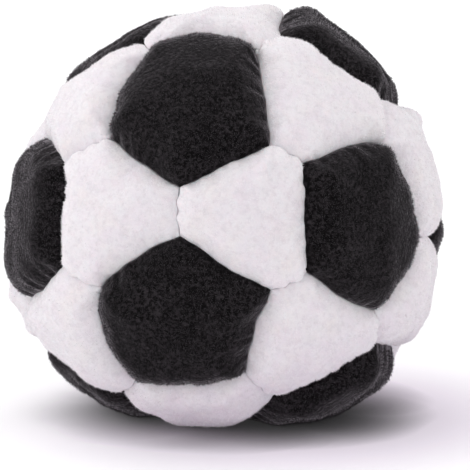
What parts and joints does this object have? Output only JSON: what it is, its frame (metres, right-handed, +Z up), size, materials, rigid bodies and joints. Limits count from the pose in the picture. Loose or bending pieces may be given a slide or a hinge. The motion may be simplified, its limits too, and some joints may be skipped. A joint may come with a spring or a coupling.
{
  "type": "footbag",
  "caption": "Hand-sewn footbag: puffed black pentagon and white hexagon panels of soft suede sewn edge to edge round a pellet filling, resting on its pressed flat foot.",
  "frame": {"origin": "middle of the bag's footprint, on the plane of the flat foot that it rests on", "axes": "+Z up from the surface that it rests on; -Y is the side that the picture shows; +X to the right in the picture"},
  "size_m": [0.0566, 0.0548, 0.0527],
  "materials": {
    "black_suede": "napped synthetic suede, matt, slightly heathered",
    "white_suede": "napped synthetic suede, matt, soft brushed pile",
    "sewing_thread": "waxed polyester thread",
    "pellets": "smooth plastic pellets"
  },
  "bodies": {
    "root": {"black_panel_01": "black_suede", "black_panel_02": "black_suede", "black_panel_03": "black_suede", "black_panel_04": "black_suede", "black_panel_05": "black_suede", "black_panel_06": "black_suede", "black_panel_07": "black_suede", "black_panel_08": "black_suede", "black_panel_09": "black_suede", "black_panel_10": "black_suede", "black_panel_11": "black_suede", "black_panel_12": "black_suede", "white_panel_01": "white_suede", "white_panel_02": "white_suede", "white_panel_03": "white_suede", "white_panel_04": "white_suede", "white_panel_05": "white_suede", "white_panel_06": "white_suede", "white_panel_07": "white_suede", "white_panel_08": "white_suede", "white_panel_09": "white_suede", "white_panel_10": "white_suede", "white_panel_11": "white_suede", "white_panel_12": "white_suede", "white_panel_13": "white_suede", "white_panel_14": "white_suede", "white_panel_15": "white_suede", "white_panel_16": "white_suede", "white_panel_17": "white_suede", "white_panel_18": "white_suede", "white_panel_19": "white_suede", "white_panel_20": "white_suede", "seam_thread": "sewing_thread", "pellet_filling": "pellets"}
  },
  "joints": []
}
